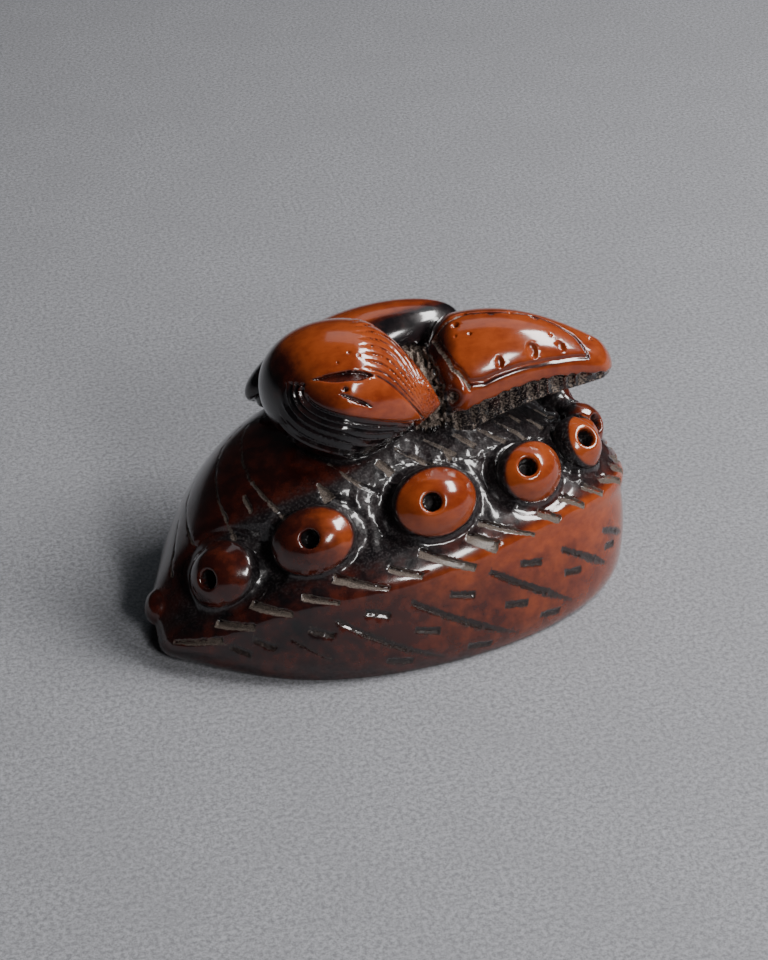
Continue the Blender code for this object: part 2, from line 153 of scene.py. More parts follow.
def smooth_curve(x, knots, values):
    """Value at x of a smooth curve through the knots."""
    knots = np.asarray(knots, float)
    values = np.asarray(values, float)
    slopes = np.gradient(values, knots)
    x = np.clip(x, knots[0], knots[-1])
    i = np.clip(np.searchsorted(knots, x) - 1, 0, len(knots) - 2)
    step = knots[i + 1] - knots[i]
    t = (x - knots[i]) / step
    return (
        values[i] * (1 + 2 * t) * (1 - t) ** 2
        + values[i + 1] * t * t * (3 - 2 * t)
        + slopes[i] * step * t * (1 - t) ** 2
        - slopes[i + 1] * step * t * t * (1 - t)
    )


def unit(vectors):
    return vectors / np.linalg.norm(vectors, axis=-1, keepdims=True)


def fade(x, start, end):
    """0 before start, 1 after end, smooth between."""
    t = np.clip((x - start) / (end - start), 0, 1)
    return t * t * (3 - 2 * t)


PORE_ANGLES = [pore.angle for pore in PORES]
TRACK_KNOTS = [PORE_ANGLES[0] - TRACK_FADES_OVER, *PORE_ANGLES, COIL_ANGLE, COIL_ANGLE + TRACK_FADES_OVER]
TRACK_SHARES = [0.0, *[pore.height_share for pore in PORES], COIL_HEIGHT, COIL_HEIGHT]
RIDGE_DROPS = [pore.ridge_drop for pore in (PORES[0], *PORES, PORES[-1], PORES[-1])]


def track_height(angle):
    """Height of the pore row at an angle on the outline."""
    return BODY_HEIGHT * smooth_curve(angle, TRACK_KNOTS, TRACK_SHARES)


def ridge_height(angle):
    """Height of the ridge below the pore row."""
    return track_height(angle) - smooth_curve(angle, TRACK_KNOTS, RIDGE_DROPS)


def body_profile(height):
    """Width of the body at a height, as a share of its width at the rim."""
    t = np.clip((height - RIM_HEIGHT) / (BODY_HEIGHT - RIM_HEIGHT), 0, 1)
    above = np.clip(1 - t ** SIDE_POWER, 0, 1) ** (1 / SHOULDER_POWER)
    t = np.clip((RIM_HEIGHT - height) / RIM_HEIGHT, 0, 1)
    below = 1 - RIM_UNDERCUT / BODY_HALF_FRONT * (1 - np.sqrt(1 - t * t))
    return np.where(height > RIM_HEIGHT, above, below)


def top_shift(height):
    """How far the body's middle has moved to the right and back at a height."""
    t = np.clip((height - RIM_HEIGHT) / (BODY_HEIGHT - RIM_HEIGHT), 0, 1.2)
    return TOP_TO_RIGHT * t, TOP_TO_BACK * t


def corner_push(angle, height):
    """The low corner at the front of the left end stands out past the even outline."""
    return 1 + LEFT_CORNER_PUSH * np.exp(-(((angle - LEFT_CORNER_ANGLE) / 18) ** 2)) * fade(-height, -9, -2)


def body_coordinates(points):
    """Distance from the body's axis as a share of the rim, and angle on the outline in degrees."""
    x, y, z = (points - BODY_CENTRE).T
    right, back = top_shift(z)
    x = (x - right) / BODY_HALF_LENGTH
    half_width = np.where(y < back, BODY_HALF_FRONT, BODY_HALF_BACK)
    y = (y - back) / (half_width * (1 - RIGHT_END_WIDER * np.clip(x, -1, 1)))
    angle = np.degrees(np.arctan2(y, x))
    angle = np.where(angle > 130, angle - 360, angle)
    radius = (np.abs(x) ** OUTLINE_POWER + np.abs(y) ** OUTLINE_POWER) ** (1 / OUTLINE_POWER)
    return radius / corner_push(angle, z), angle


def body_point(angle, height):
    """Point of the plain body at an angle on the outline and a height."""
    angle = np.asarray(angle, float)
    height = np.asarray(height, float)
    across, along = np.sin(np.radians(angle)), np.cos(np.radians(angle))
    radius = (np.abs(along) ** OUTLINE_POWER + np.abs(across) ** OUTLINE_POWER) ** (-1 / OUTLINE_POWER)
    radius = radius * body_profile(height) * corner_push(angle, height)
    x, y = radius * along, radius * across
    right, back = top_shift(height)
    half_width = np.where(y < 0, BODY_HALF_FRONT, BODY_HALF_BACK)
    y = y * half_width * (1 - RIGHT_END_WIDER * np.clip(x, -1, 1))
    return np.stack([x * BODY_HALF_LENGTH + right, y + back, height], -1) + BODY_CENTRE


def body_normal(angle, height):
    along = body_point(angle + 0.5, height) - body_point(angle - 0.5, height)
    up = body_point(angle, height + 0.1) - body_point(angle, height - 0.1)
    return unit(np.cross(along, up))


def track_point(angle):
    """Point of the plain body on the pore row."""
    return body_point(angle, track_height(angle))


def track_share(angle, height):
    """0 along the pore row, -1 on the ridge below it."""
    return (height - track_height(angle)) / (track_height(angle) - ridge_height(angle))


def track_ends(angle):
    return fade(angle, PORE_ANGLES[0] - 5, PORE_ANGLES[1]) * fade(-angle, -COIL_ANGLE, -PORE_ANGLES[-1])


def track_cut(angle, height):
    """Depth of the sunk track below the plain body. The ridge along its lower edge stands proud."""
    across = track_share(angle, height)
    cut = TRACK_DEPTH * np.clip(1 - across * across, 0, 1) ** 2
    ridge = RIDGE_RISE * np.exp(-(((across + 1.12) / 0.28) ** 2))
    return (cut - ridge) * track_ends(angle)


def body_field(points):
    """Below 0 inside the body, about the distance in millimetres outside it."""
    radius, angle = body_coordinates(points)
    height = points[:, 2]
    field = (radius - body_profile(height)) * BODY_HALF_FRONT
    field = np.where(height > BODY_HEIGHT, np.maximum(field, height - BODY_HEIGHT), field)
    crown = CROWN_HEIGHT - (CROWN_HEIGHT - CROWN_EDGE_HEIGHT) * radius / CROWN_EDGE
    field = np.logaddexp(field, height - crown)
    field = field + track_cut(angle, height) * fade(-height, -BODY_HEIGHT, 2 - BODY_HEIGHT)
    return np.maximum(field, -height)


class Place:
    """Own frame of a shell: x along it, z out of its face."""

    def __init__(self, centre, heading, pitch, roll):
        self.centre = np.array(centre)
        turn = (
            Matrix.Rotation(math.radians(heading), 3, "Z")
            @ Matrix.Rotation(math.radians(-pitch), 3, "Y")
            @ Matrix.Rotation(math.radians(roll), 3, "X")
        )
        self.turn = np.array(turn)

    def local(self, points):
        return ((points - self.centre) @ self.turn).T


CLAM = Place(
    (-0.115 * BODY_HALF_LENGTH, -0.141 * BODY_HALF_FRONT, BODY_HEIGHT + 0.2 * CLAM_HALF_HEIGHT),
    heading=-20,
    pitch=-7.5,
    roll=53,
)
WEDGE = Place(
    (0.292 * BODY_HALF_LENGTH, 0.126 * BODY_HALF_FRONT, BODY_HEIGHT - 0.56 * WEDGE_WALL),
    heading=-8.8,
    pitch=5,
    roll=0,
)
REAR = Place(
    (0.006 * BODY_HALF_LENGTH, 0.53 * BODY_HALF_BACK, BODY_HEIGHT - 0.3 * REAR_HALF_HEIGHT),
    heading=-1.7,
    pitch=17,
    roll=45,
)
BED = Place(
    (0.23 * BODY_HALF_LENGTH, 0.1 * BODY_HALF_FRONT, BODY_HEIGHT - 0.5 * BED_HALF_HEIGHT),
    heading=-15,
    pitch=0,
    roll=0,
)


def clam_field(points):
    """An egg shape, blunt at the left and pointed at the right."""
    x, y, z = CLAM.local(points)
    share = np.clip(x / CLAM_HALF_LENGTH, -1, 1)
    blunt = np.sqrt(1 - share ** 2)
    pointed = (1 - np.abs(share) ** 1.5) ** 0.88
    outline = np.where(share < 0, blunt, pointed)
    radius = np.sqrt((y / CLAM_HALF_HEIGHT) ** 2 + (z / CLAM_HALF_DEPTH) ** 2)
    field = (radius - outline) * CLAM_HALF_HEIGHT
    return np.maximum(field, np.abs(x) - CLAM_HALF_LENGTH)


def wedge_sizes(share):
    """Half width and height of the wedge shell at a share of its length."""
    taper = 1 - 0.72 * np.clip((share - 0.12) / 0.88, 0, 1) ** 1.25
    left_end = np.sqrt(1 - np.clip((0.12 - share) / 0.2, 0, 1) ** 2)
    tip = np.sqrt(1 - np.clip((share - 0.92) / 0.08, 0, 1) ** 2)
    half_width = WEDGE_HALF_WIDTH * taper * left_end * tip
    return half_width, half_width * WEDGE_RISE


def wedge_place(points):
    """Coordinates on the wedge shell with its arch taken out, and the share of its length."""
    x, y, z = WEDGE.local(points)
    share = x / WEDGE_LENGTH
    return x, y, z - WEDGE_ARCH * np.sin(math.pi * np.clip(share, 0, 1)), share


def wedge_wall_height(share):
    return WEDGE_WALL * (1 - 0.75 * np.clip(share, 0, 1) ** 3)


def wedge_field(points):
    """A domed shell over a wedge outline, with a set-back wall below its rim."""
    x, y, z, share = wedge_place(points)
    share = np.clip(share, -WEDGE_LEFT_OF_ZERO, 1)
    half_width, rise = wedge_sizes(share)
    half_width = half_width + 0.05
    dome = (np.sqrt((y / half_width) ** 2 + (z / (rise + 0.05)) ** 2) - 1) * half_width
    set_back = np.clip(WEDGE_RIM_STANDS_OUT * fade(-z, 0.1, 0.7) - 0.25 * z, 0, 2)
    wall = np.maximum(np.abs(y) - np.maximum(half_width - set_back, 0.05), -z - wedge_wall_height(share))
    field = np.where(z > 0, dome, wall)
    return np.maximum(field, np.maximum(x - WEDGE_LENGTH, -WEDGE_LEFT_OF_ZERO * WEDGE_LENGTH - x))


def rear_field(points):
    """A long pointed oval."""
    x, y, z = REAR.local(points)
    across = np.hypot(y / REAR_HALF_HEIGHT, z / REAR_HALF_DEPTH)
    radius = np.abs(x / REAR_HALF_LENGTH) ** REAR_POWER + across ** REAR_POWER
    return (radius ** (1 / REAR_POWER) - 1) * REAR_HALF_HEIGHT


def bed_field(points):
    x, y, z = BED.local(points)
    radius = np.sqrt((x / BED_HALF_LENGTH) ** 2 + (y / BED_HALF_DEPTH) ** 2 + (z / BED_HALF_HEIGHT) ** 2)
    return (radius - 1) * BED_HALF_HEIGHT


def cast_to_surface(field, centre, directions, reach):
    """Points where rays from the centre leave a form."""
    near = np.zeros(len(directions))
    far = np.full(len(directions), float(reach))
    for _ in range(20):
        middle = (near + far) / 2
        outside = field(centre + directions * middle[:, None]) > 0
        far = np.where(outside, middle, far)
        near = np.where(outside, near, middle)
    return centre + directions * near[:, None]


# Meshes


def coordinates(mesh):
    flat = np.empty(len(mesh.vertices) * 3, np.float32)
    mesh.vertices.foreach_get("co", flat)
    return flat.reshape(-1, 3).astype(float)


def place_vertices(mesh, points):
    mesh.vertices.foreach_set("co", np.ascontiguousarray(points, np.float32).ravel())
    mesh.update()


def add_form(bm, field, centre, reach, subdivisions):
    """Add a ball whose points are drawn out to the form's surface."""
    ball = bmesh.new()
    bmesh.ops.create_icosphere(ball, subdivisions=subdivisions, radius=1)
    mesh = bpy.data.meshes.new("ball")
    ball.to_mesh(mesh)
    ball.free()
    directions = unit(coordinates(mesh))
    place_vertices(mesh, cast_to_surface(field, np.asarray(centre), directions, reach))
    bm.from_mesh(mesh)
    bpy.data.meshes.remove(mesh)


def mound_matrix(angle, height, sink):
    """Frame on the body, sunk below its surface: x along the track, z outward."""
    normal = body_normal(angle, height)
    along = track_point(angle + 2) - track_point(angle - 2)
    along = unit(along - normal * (along @ normal))
    across = np.cross(normal, along)
    centre = body_point(angle, height) - normal * sink
    matrix = Matrix.Identity(4)
    for column, axis in enumerate((along, across, normal, centre)):
        matrix.col[column][:3] = axis
    return matrix


def in_frame(matrix, points):
    """Coordinates of points in a frame."""
    frame = np.array(matrix)
    return ((points - frame[:3, 3]) @ frame[:3, :3]).T


def pore_matrix(pore, sink=TRACK_DEPTH):
    return mound_matrix(pore.angle, track_height(pore.angle), sink)


def add_pores(bm):
    for pore in PORES:
        size = Matrix.Diagonal((pore.length / 2, pore.width / 2, PORE_RISE * pore.width, 1))
        bmesh.ops.create_icosphere(bm, subdivisions=6, radius=1, matrix=pore_matrix(pore) @ size)


def add_coil(bm):
    height = COIL_HEIGHT * BODY_HEIGHT
    place = mound_matrix(COIL_ANGLE, height, COIL_RISE * 0.4)
    for radius, rise in ((COIL_RADIUS, COIL_RISE), (COIL_RADIUS * 0.55, COIL_RISE * 1.5)):
        matrix = place @ Matrix.Diagonal((radius, radius, rise, 1))
        bmesh.ops.create_icosphere(bm, subdivisions=6, radius=1, matrix=matrix)


# Carving


def skin_point(angle, height):
    """Point of the body's skin, track and ridge included, at an angle and a height."""
    normal = body_normal(angle, height)
    start = body_point(angle, height) - 3 * normal
    return cast_to_surface(body_field, start, normal[None], 6)[0]


def crown_point(x, y):
    """Point of the body's top above a place on the floor."""
    return cast_to_surface(body_field, np.array([x, y, 4.0]), np.array([[0.0, 0.0, 1.0]]), 16)[0]


def below_ridge(angle, drop):
    return skin_point(angle, ridge_height(angle) - drop)


class Cut:
    """One stroke of the chisel: a line over the skin, with a half width at each end."""

    def __init__(self, points, start_width, end_width, depth, ledge, dust):
        self.points = np.array(points)
        lengths = np.concatenate([[0], np.cumsum(np.linalg.norm(np.diff(self.points, axis=0), axis=1))])
        shares = lengths / lengths[-1]
        self.widths = start_width + (end_width - start_width) * shares
        self.depth = depth
        self.ledge = ledge
        self.dust = dust

    def inside(self, points):
        """Millimetres inside the stroke's edge (below 0 outside), and the share of the way up across it."""
        best = np.full(len(points), -1e3)
        across = np.zeros(len(points))
        last = len(self.points) - 2
        for number, (start, end) in enumerate(zip(self.points, self.points[1:])):
            line = end - start
            length = np.linalg.norm(line)
            share = (points - start) @ line / length ** 2
            nearest = np.clip(share, -1e3 if number == 0 else 0, 1e3 if number == last else 1)
            offset = points - (start + nearest[:, None] * line)
            first, second = self.widths[number], self.widths[number + 1]
            own = first + (second - first) * np.clip(share, 0, 1) - np.linalg.norm(offset, axis=1)
            if number == 0:
                own = np.minimum(own, share * length)
            if number == last:
                own = np.minimum(own, (1 - share) * length)
            outward = (start + end) / 2 - BODY_CENTRE - (0, 0, 4)
            up = np.cross(outward, line)
            up = unit(up if up[2] > 0 else -up)
            nearer = own > best
            best = np.where(nearer, own, best)
            across = np.where(nearer, offset @ up / max(first, second), across)
        return best, across


LINE_STEP = 10.5


def line_angle(number):
    """Angle where a growth line crosses the ridge."""
    return -152 + LINE_STEP * number


# Notches on the ridge: angle and height of both ends, half widths
NOTCHES = (
    (-157, 2.6, -143, 3.8, 0.2, 0.35),
    (-147, 5.0, -135, 5.4, 0.42, 0.3),
    (-139, 7.1, -126, 6.8, 0.45, 0.3),
    (-125, 8.2, -115, 7.8, 0.36, 0.2),
    (-118, 9.7, -103, 8.6, 0.5, 0.15),
    (-104, 10.1, -95, 9.2, 0.32, 0.28),
    (-96, 11.0, -81, 8.9, 0.45, 0.35),
    (-83, 11.5, -75, 10.1, 0.5, 0.6),
    (-79, 12.3, -64, 10.1, 0.36, 0.15),
    (-61, 11.7, -55, 10.4, 0.5, 0.35),
    (-52, 12.1, -45, 10.5, 0.42, 0.3),
    (-42, 11.9, -35, 10.4, 0.38, 0.3),
)
# Long strokes down the band: angle and height of both ends, half width
LONG_STROKES = (
    (-125, 4.7, -114, 2.7, 0.12),
    (-115, 6.3, -87, 1.3, 0.3),
    (-97, 7.1, -68, 1.6, 0.34),
    (-77, 8.2, -51, 2.5, 0.36),
    (-55, 7.8, -35, 3.7, 0.34),
    (-37, 7.2, -22, 5.0, 0.34),
)
# Dashes between them: angle, height
DASHES = (
    (-118, 5.2), (-105, 6.5), (-92, 4.3), (-98, 1.8), (-84, 6.8), (-69, 4.5), (-78, 1.5),
    (-65, 7.7), (-51, 5.2), (-58, 2.2), (-33, 5.2), (-132, 4.0), (-138, 3.1),
)
# Strokes on the crown: places on the floor below their points, half widths at both ends
CROWN_STROKES = (
    (((0.9, -4.2), (2.4, -5.0), (3.8, -6.1)), 0.15, 0.3),
    (((-1.0, -5.3), (0.1, -6.3)), 0.36, 0.42),
    (((-5.1, -4.6), (-3.9, -6.3), (-3.2, -6.8), (-1.3, -7.7)), 0.07, 0.3),
    (((-6.5, -6.2), (-5.7, -7.5)), 0.12, 0.62),
    (((-12.5, -4.0), (-12.2, -5.7)), 0.2, 0.24),
    (((3.8, -3.3), (6.1, -5.2)), 0.12, 0.26),
    (((5.0, -4.1), (5.6, -5.8)), 0.1, 0.2),
    (((6.5, -3.2), (8.1, -4.5)), 0.16, 0.3),
    (((8.8, -2.8), (11.0, -4.1)), 0.14, 0.28),
    (((10.7, -1.7), (12.3, -2.9), (13.8, -4.6)), 0.14, 0.3),
    (((12.3, -0.7), (13.2, -1.5)), 0.12, 0.22),
    (((13.9, -1.0), (15.2, -2.0)), 0.14, 0.26),
    (((15.3, 1.2), (16.8, -0.1)), 0.14, 0.26),
    (((16.6, 2.0), (17.8, 1.0)), 0.14, 0.2),
)
# Growth lines down the left slope: angle and height of their points, half width at the bottom
GROWTH_LINES = (
    (
        ((-208, 15.3), (-198, 15.3), (-178, 15.2), (-163, 14.9), (-152, 14.5), (-144, 14.0), (-138, 13.5)),
        0.28,
    ),
    (((-211, 14.6), (-200, 13.8), (-185, 13.3), (-171, 12.7), (-160, 12.1), (-154, 11.0)), 0.22),
    (((-202, 11.2), (-190, 9.9), (-178, 9.4), (-168, 9.0)), 0.16),
    (((-189, 8.6), (-179, 7.3), (-172, 6.1)), 0.13),
)


def even_line(first, low, last, high, count):
    """Points on the skin from one angle and height to another."""
    return [skin_point(a, z) for a, z in zip(np.linspace(first, last, count), np.linspace(low, high, count))]


def body_cuts():
    """Every stroke of the chisel on the body."""
    cuts = []
    for first, low, last, high, start, end in NOTCHES:
        cuts.append(Cut(even_line(first, low, last, high, 4), start, end, depth=0.45, ledge=1.0, dust=1.0))
    for first, high, last, low, width in LONG_STROKES:
        line = even_line(first, high, last, low, 7)
        cuts.append(Cut(line[:5], width * 0.7, width, depth=0.22, ledge=0.3, dust=0.1))
        cuts.append(Cut(line[4:], width, 0.05, depth=0.22, ledge=0.3, dust=0.0))
    for angle, height in DASHES:
        line = even_line(angle - 3.2, height + 0.3, angle + 3.2, height - 0.2, 3)
        cuts.append(Cut(line, 0.3, 0.34, depth=0.24, ledge=0.6, dust=0.25))
    for places, start, end in CROWN_STROKES:
        line = [crown_point(x, y) for x, y in places]
        cuts.append(Cut(line, start, end, depth=0.28, ledge=0.8, dust=0.85))
    for places, width in GROWTH_LINES:
        line = [skin_point(angle, height) for angle, height in places]
        middle = len(line) // 2
        cuts.append(Cut(line[:middle + 1], 0.05, 0.1, depth=0.16, ledge=0.5, dust=0.4))
        cuts.append(Cut(line[middle:], 0.1, width, depth=0.24, ledge=0.8, dust=0.7))
    return cuts + back_cuts()


def back_cuts():
    """Notches, strokes and dashes of the half that faces away, spaced as those in front."""
    cuts = []
    for number in range(12, 22):
        angle = line_angle(number)
        length = 6.5 if number % 2 == 0 else 4.5
        notch = [below_ridge(angle - length, -0.7), below_ridge(angle, 0), below_ridge(angle + length, 0.9)]
        cuts.append(Cut(notch, 0.45, 0.3, depth=0.4, ledge=1.0, dust=1.0))
        if number % 2 == 0:
            line = [below_ridge(angle + turn, 2.2 + (turn - 14) * 0.21) for turn in (14, 20, 27, 34, 41)]
            cuts.append(Cut(line, 0.28, 0.18, depth=0.3, ledge=0.4, dust=0.0))
        else:
            for turn in (13, 26, 39):
                middle = 2.6 + (turn - 13) * 0.23
                ends = ((angle + turn - 3, middle - 0.3), (angle + turn + 3, middle + 0.3))
                line = [below_ridge(*end) for end in ends]
                cuts.append(Cut(line, 0.26, 0.3, depth=0.28, ledge=0.7, dust=0.0))
    return cuts


def near(points, cut, margin=1.5):
    low = cut.points.min(0) - margin
    high = cut.points.max(0) + margin
    return np.flatnonzero(np.all((points > low) & (points < high), axis=1))


def smooth_noise(points, size, stretch=(1, 1, 1)):
    """Even noise from -1 to 1 with lumps of a size in millimetres."""
    scaled = points / (np.array(stretch) * size)
    return np.array([noise.noise(Vector(point)) for point in scaled]) * 1.6


def body_relief(points, cuts):
    """Depth of the strokes on the body, how far each point lies inside one, and how dusty that one is."""
    depth = np.zeros(len(points))
    edge = np.full(len(points), -1.0)
    dust = np.zeros(len(points))
    on_body = np.abs(body_field(points)) < 1.2
    for cut in cuts:
        chosen = near(points, cut)
        chosen = chosen[on_body[chosen]]
        inside, across = cut.inside(points[chosen])
        inside = (inside + 0.06 * smooth_noise(points[chosen], 0.4)) / (1 + 2.5 * (1 - cut.dust) ** 2)
        slope = (1 - cut.ledge) + cut.ledge * np.clip(across * 0.5 + 0.5, 0, 1)
        own = cut.depth * fade(inside, -0.04, 0.16) * slope
        depth[chosen] = np.maximum(depth[chosen], own)
        nearer = inside > edge[chosen]
        edge[chosen] = np.where(nearer, inside, edge[chosen])
        dust[chosen] = np.where(nearer, cut.dust, dust[chosen])
    return depth, edge, dust


def clear_of(points, *fields):
    """1 where a point is well outside the other forms, 0 where it meets one."""
    nearest = np.minimum.reduce([field(points) for field in fields])
    return fade(nearest, 0.05, 0.5)


# The clam's hinge plate: its left tip and its length, as shares of the clam's half length
PLATE_LEFT = -0.47
PLATE_LENGTH = 1.33


def plate_edges(along):
    """Heights of the hinge plate's upper and lower edges, at a share of the way from tip to tip."""
    tips = -0.43 - 1.2 * along
    upper = tips + 2.2 * np.sin(math.pi * along) ** 1.05
    lower = tips - 2.0 * np.sin(math.pi * along ** 0.55) ** 0.6
    return upper, lower


def clam_lines(points):
    """Place on the clam: share along it, bow of the hinge plate, millimetres above the plate's upper edge
    and above its lower edge, turn round the clam and height over its middle plane."""
    x, y, z = CLAM.local(points)
    share = x / CLAM_HALF_LENGTH
    along = np.clip((share - PLATE_LEFT) / PLATE_LENGTH, 0, 1)
    upper, lower = plate_edges(along)
    turn = np.degrees(np.arctan2(y, z))
    return share, np.sin(math.pi * along), y - upper, y - lower, turn, z


def clam_crescent(share, bow, above):
    """Scooped crescent along the upper edge of the hinge plate: 0 outside, 1 under that edge."""
    width = 0.95 * fade(bow, 0.05, 0.8) + 0.02
    right_end = fade(-share, -0.3, -0.06) * fade(bow, 0.02, 0.2)
    inside = np.minimum(-above, above + width * right_end)
    return fade(inside, -0.05, 0.12) * (1 - 0.75 * np.clip(-above / width, 0, 1)) * fade(right_end, 0, 0.3)


def clam_fan(points):
    """Distance from the lower edge of the hinge plate, in steps that close up towards the right tip."""
    x, y, _ = CLAM.local(points)
    along = np.linspace(0, 1, 160)
    edge_x = (along * PLATE_LENGTH + PLATE_LEFT) * CLAM_HALF_LENGTH
    _, edge_y = plate_edges(along)
    distances, nearest = np.empty(len(points)), np.empty(len(points))
    for first in range(0, len(points), 20000):
        part = slice(first, first + 20000)
        apart = np.hypot(x[part, None] - edge_x, y[part, None] - edge_y)
        distances[part] = apart.min(1)
        nearest[part] = along[apart.argmin(1)]
    return distances / (0.5 * (1 - 0.65 * fade(nearest, 0.5, 1)))


def ridges(x):
    """Overlapping growth lines: 0 on each narrow crest, 1 in the groove beside it."""
    phase = x - np.floor(x)
    return fade(phase, 0.05, 0.3) * (1 - 0.5 * fade(phase, 0.4, 0.9)) * fade(1 - phase, 0, 0.15)


def fine_grooves(x):
    """Narrow grooves with broad smooth ground between them: 1 in each groove."""
    phase = x - np.floor(x)
    return fade(phase, 0.3, 0.45) * fade(1 - phase, 0.25, 0.6)


# Small breaks in the clam's face: share, millimetres up, radius, depth
CLAM_CHIPS = (
    (-0.03, -0.55, 0.26, 0.2),
    (-0.06, 2.6, 0.16, 0.12),
    (-0.16, 1.55, 0.14, 0.12),
    (0.05, 2.5, 0.14, 0.12),
)


def clam_relief(points):
    """Crescent and edges of the hinge plate, growth lines of both valves, and small breaks."""
    share, bow, above, below, turn, z = clam_lines(points)
    _, y, _ = CLAM.local(points)
    on_clam = (np.abs(clam_field(points)) < 0.8) * clear_of(points, body_field, bed_field) * (z > 0)
    crescent = 0.6 * clam_crescent(share, bow, above)
    edge = 0.16 * np.exp(-((above / 0.12) ** 2)) * fade(share, 0.2, 0.3)
    crease = 0.35 * np.exp(-((below / 0.2) ** 2)) * fade(bow, 0.02, 0.15)
    depth = np.maximum(np.maximum(crescent, edge), crease)
    ends = fade(-share, -0.98, -0.93)
    chosen = np.flatnonzero((on_clam > 0) & (below < 0.1))
    fan = clam_fan(points[chosen])
    lower = (ends * fade(-below, 0.05, 0.3) * fade(share, -0.72, -0.58))[chosen] * fade(-fan, -8.5, -6.5)
    depth[chosen] += 0.3 * lower * ridges(fan)
    flank = above - 0.1 + 0.1 * np.sin(5 * share + 2) + 0.06 * np.sin(13 * share)
    upper = fade(flank, 0.0, 0.2) * fade(share + 0.0045 * (turn - 30), 0.0, 0.25)
    depth = depth + 0.2 * ends * upper * fine_grooves(flank / (0.16 + 0.52 * bow ** 0.7))
    for spot, up, radius, deep in CLAM_CHIPS:
        distance = np.hypot((share - spot) * CLAM_HALF_LENGTH, y - up)
        depth = np.maximum(depth, deep * fade(radius - distance, -0.05, 0.12))
    slit_along = (share - 0.1 - 0.06 * (y + 1.3)) * CLAM_HALF_LENGTH / 1.5
    slit_across = (y + 1.3 + 1.6 * (share - 0.1)) / 0.2
    depth = np.maximum(depth, 0.3 * fade(1 - np.hypot(slit_along, slit_across), -0.2, 0.3))
    return depth * on_clam


# Engraved panel on the wedge shell: share of its length and millimetres across, going round
PANEL = (
    (0.19, 0.8), (0.01, 0.1), (0.035, -2.0), (0.08, -4.0), (0.15, -5.05), (0.24, -4.95), (0.40, -4.3),
    (0.56, -3.6), (0.68, -3.0), (0.85, -2.0), (0.79, -0.9), (0.68, 0.0), (0.57, 0.6), (0.34, 0.5),
    (0.19, 0.8),
)
PANEL_BROAD_SIDES = (0, 1, 2, 3)
# Small breaks in the wedge shell: share, across, radius, depth
WEDGE_CHIPS = (
    (0.13, -0.6, 0.4, 0.35), (0.20, -2.0, 0.22, 0.25), (0.12, -1.9, 0.2, 0.2), (0.53, -3.1, 0.5, 0.35),
    (0.70, -2.2, 0.4, 0.3), (0.34, -4.1, 0.35, 0.3), (0.65, -1.6, 0.2, 0.15), (0.58, 0.2, 0.4, 0.3),
    (0.34, 0.3, 0.35, 0.2), (0.45, 0.6, 0.3, 0.2), (0.88, -0.2, 0.3, 0.2),
)


def panel_lines(share, across):
    """Distance from the panel's engraved outline, with broad sides at the left and fine ones elsewhere."""
    broad = np.full(len(share), 9.0)
    fine = np.full(len(share), 9.0)
    here = np.stack([share * WEDGE_LENGTH, across], 1)
    corners = np.array(PANEL) * (WEDGE_LENGTH, 1)
    for number, (start, end) in enumerate(zip(corners, corners[1:])):
        line = end - start
        along = np.clip((here - start) @ line / (line @ line), 0, 1)
        distance = np.linalg.norm(here - start - along[:, None] * line, axis=1)
        if number in PANEL_BROAD_SIDES:
            broad = np.minimum(broad, distance)
        else:
            fine = np.minimum(fine, distance)
    return broad, fine


def rib_turn(x):
    """Place along the ribs under the wedge shell, half a turn a rib. Their spacing wanders a little."""
    return math.pi * (x + 0.25 * np.sin(2.1 * x)) / WEDGE_RIB_STEP


def knob_distance(x, y, z):
    right, back, up = WEDGE_KNOB
    return np.sqrt((x - right) ** 2 + (y - back) ** 2 + (z - up) ** 2)


def wedge_relief(points):
    """Ribs of the wall, engraved panel, chips and the knob at the corner."""
    x, y, z, share = wedge_place(points)
    on_shell = (np.abs(wedge_field(points)) < 0.6) * clear_of(points, body_field, bed_field)
    wave = np.abs(np.sin(rib_turn(x))) ** 0.9
    ribs = (1 - wave) * fade(-z, -0.1, 0.3) * fade(wedge_wall_height(share) + z, 0.1, 0.6)
    ribs = ribs * fade(-share, -0.99, -0.93)
    broad, fine = panel_lines(share, y)
    top = z > 0.15
    panel = 0.35 * fade(0.3 - broad, 0, 0.2) * top
    outline = 0.2 * np.exp(-((fine / 0.08) ** 2)) * top
    depth = np.maximum(WEDGE_RIB_DEPTH * ribs, np.maximum(panel, outline))
    for spot, across, radius, deep in WEDGE_CHIPS:
        distance = np.hypot((share - spot) * WEDGE_LENGTH, y - across)
        depth = np.maximum(depth, deep * fade(radius - distance, 0, 0.2) * top)
    knob = knob_distance(x, y, z)
    depth = depth + 0.5 * fade(0.5 - knob, -0.1, 0.2) - 0.35 * np.exp(-(((knob - 0.9) / 0.45) ** 2)) * top
    return depth * on_shell


def rear_relief(points):
    """A fold at the left end of the shell behind."""
    x, y, _ = REAR.local(points)
    share = x / REAR_HALF_LENGTH
    on_shell = (np.abs(rear_field(points)) < 0.5) * clear_of(points, body_field, clam_field)
    fold = np.exp(-(((y + 0.9 + 2.0 * (share + 0.95)) / 0.22) ** 2)) * fade(-share, 0.6, 0.75)
    return 0.4 * fold * on_shell


def hole_matrix(pore):
    """Frame of a pore's hole: on the skin of its mound and square to it, a little off the middle."""
    half_length, half_width, rise = pore.length / 2, pore.width / 2, PORE_RISE * pore.width
    reach = Vector((-pore.left / half_length, pore.up / half_width, 0))
    reach.z = math.sqrt(1 - reach.length_squared)
    place = Matrix.Translation((-pore.left, pore.up, rise * (reach.z - 1)))
    outward = Vector((reach.x / half_length, reach.y / half_width, reach.z / rise))
    turn = outward.to_track_quat("Z", "Y").to_matrix().to_4x4()
    return pore_matrix(pore, TRACK_DEPTH - rise) @ place @ turn


